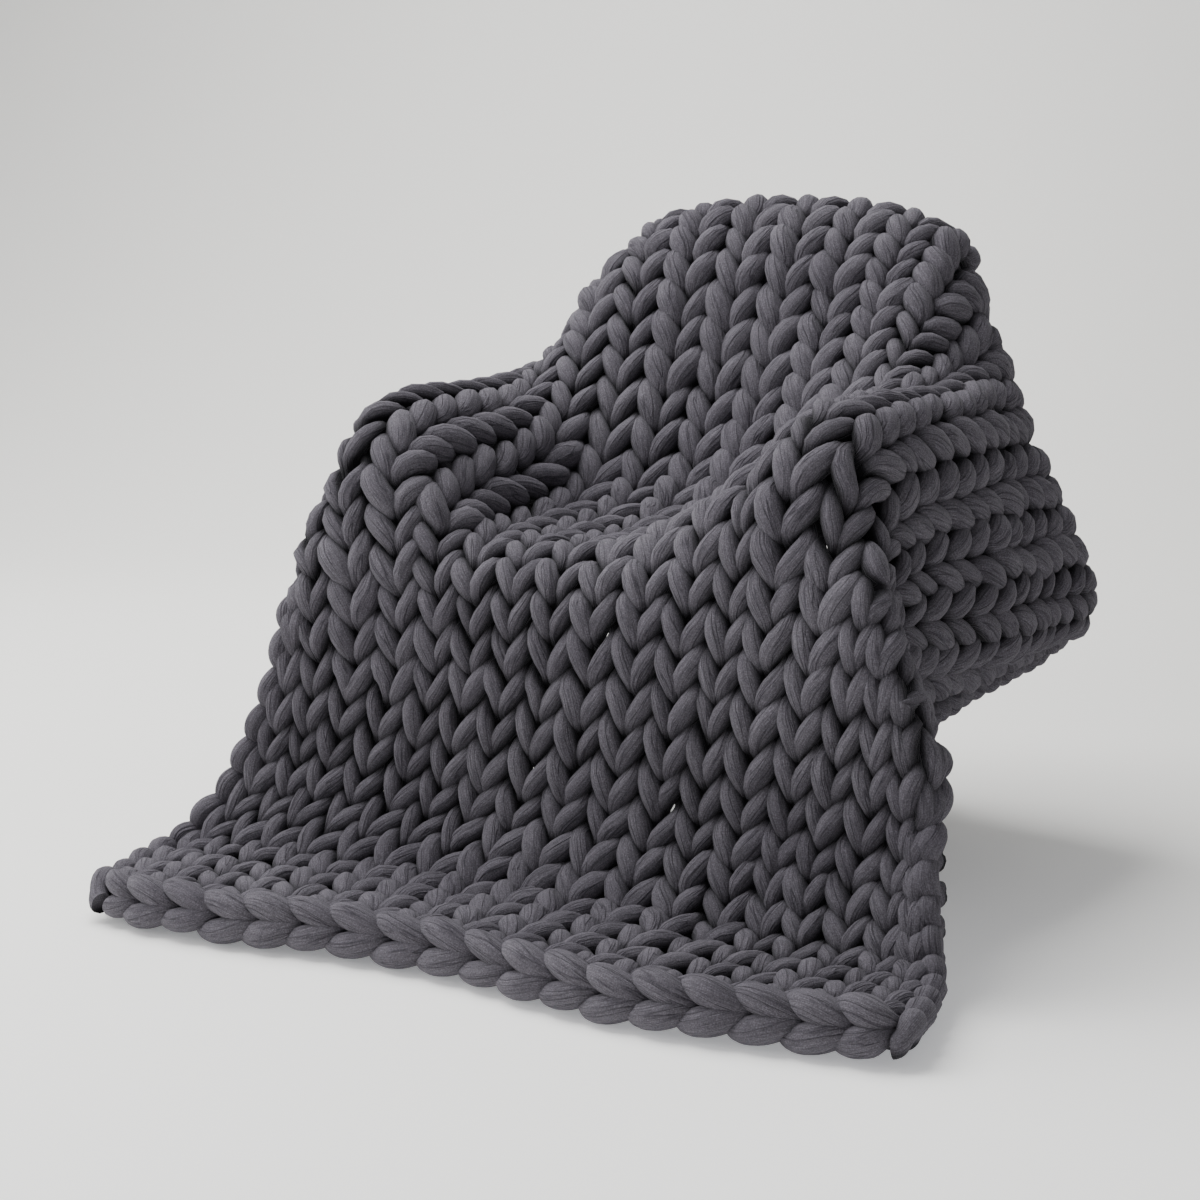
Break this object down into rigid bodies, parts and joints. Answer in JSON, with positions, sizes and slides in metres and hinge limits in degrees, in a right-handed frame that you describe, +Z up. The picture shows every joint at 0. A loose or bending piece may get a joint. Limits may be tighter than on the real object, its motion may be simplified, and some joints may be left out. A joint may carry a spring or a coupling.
{
  "type": "chunky knit blanket",
  "caption": "Plump stocking-stitch blanket in thick grey roving, draped in the hollow form of a small armchair, with its front hem spread on the floor.",
  "frame": {"origin": "underside of the cloth at the middle of its top, where the back of a chair holds it up", "axes": "+Z up from the floor, +Y from the front hem to the back, +X to the right as seen from the front"},
  "size_m": [1.0387, 1.0347, 0.814],
  "materials": {
    "wool": "matte, fibrous"
  },
  "bodies": {
    "root": {"blanket": "wool"}
  },
  "joints": []
}
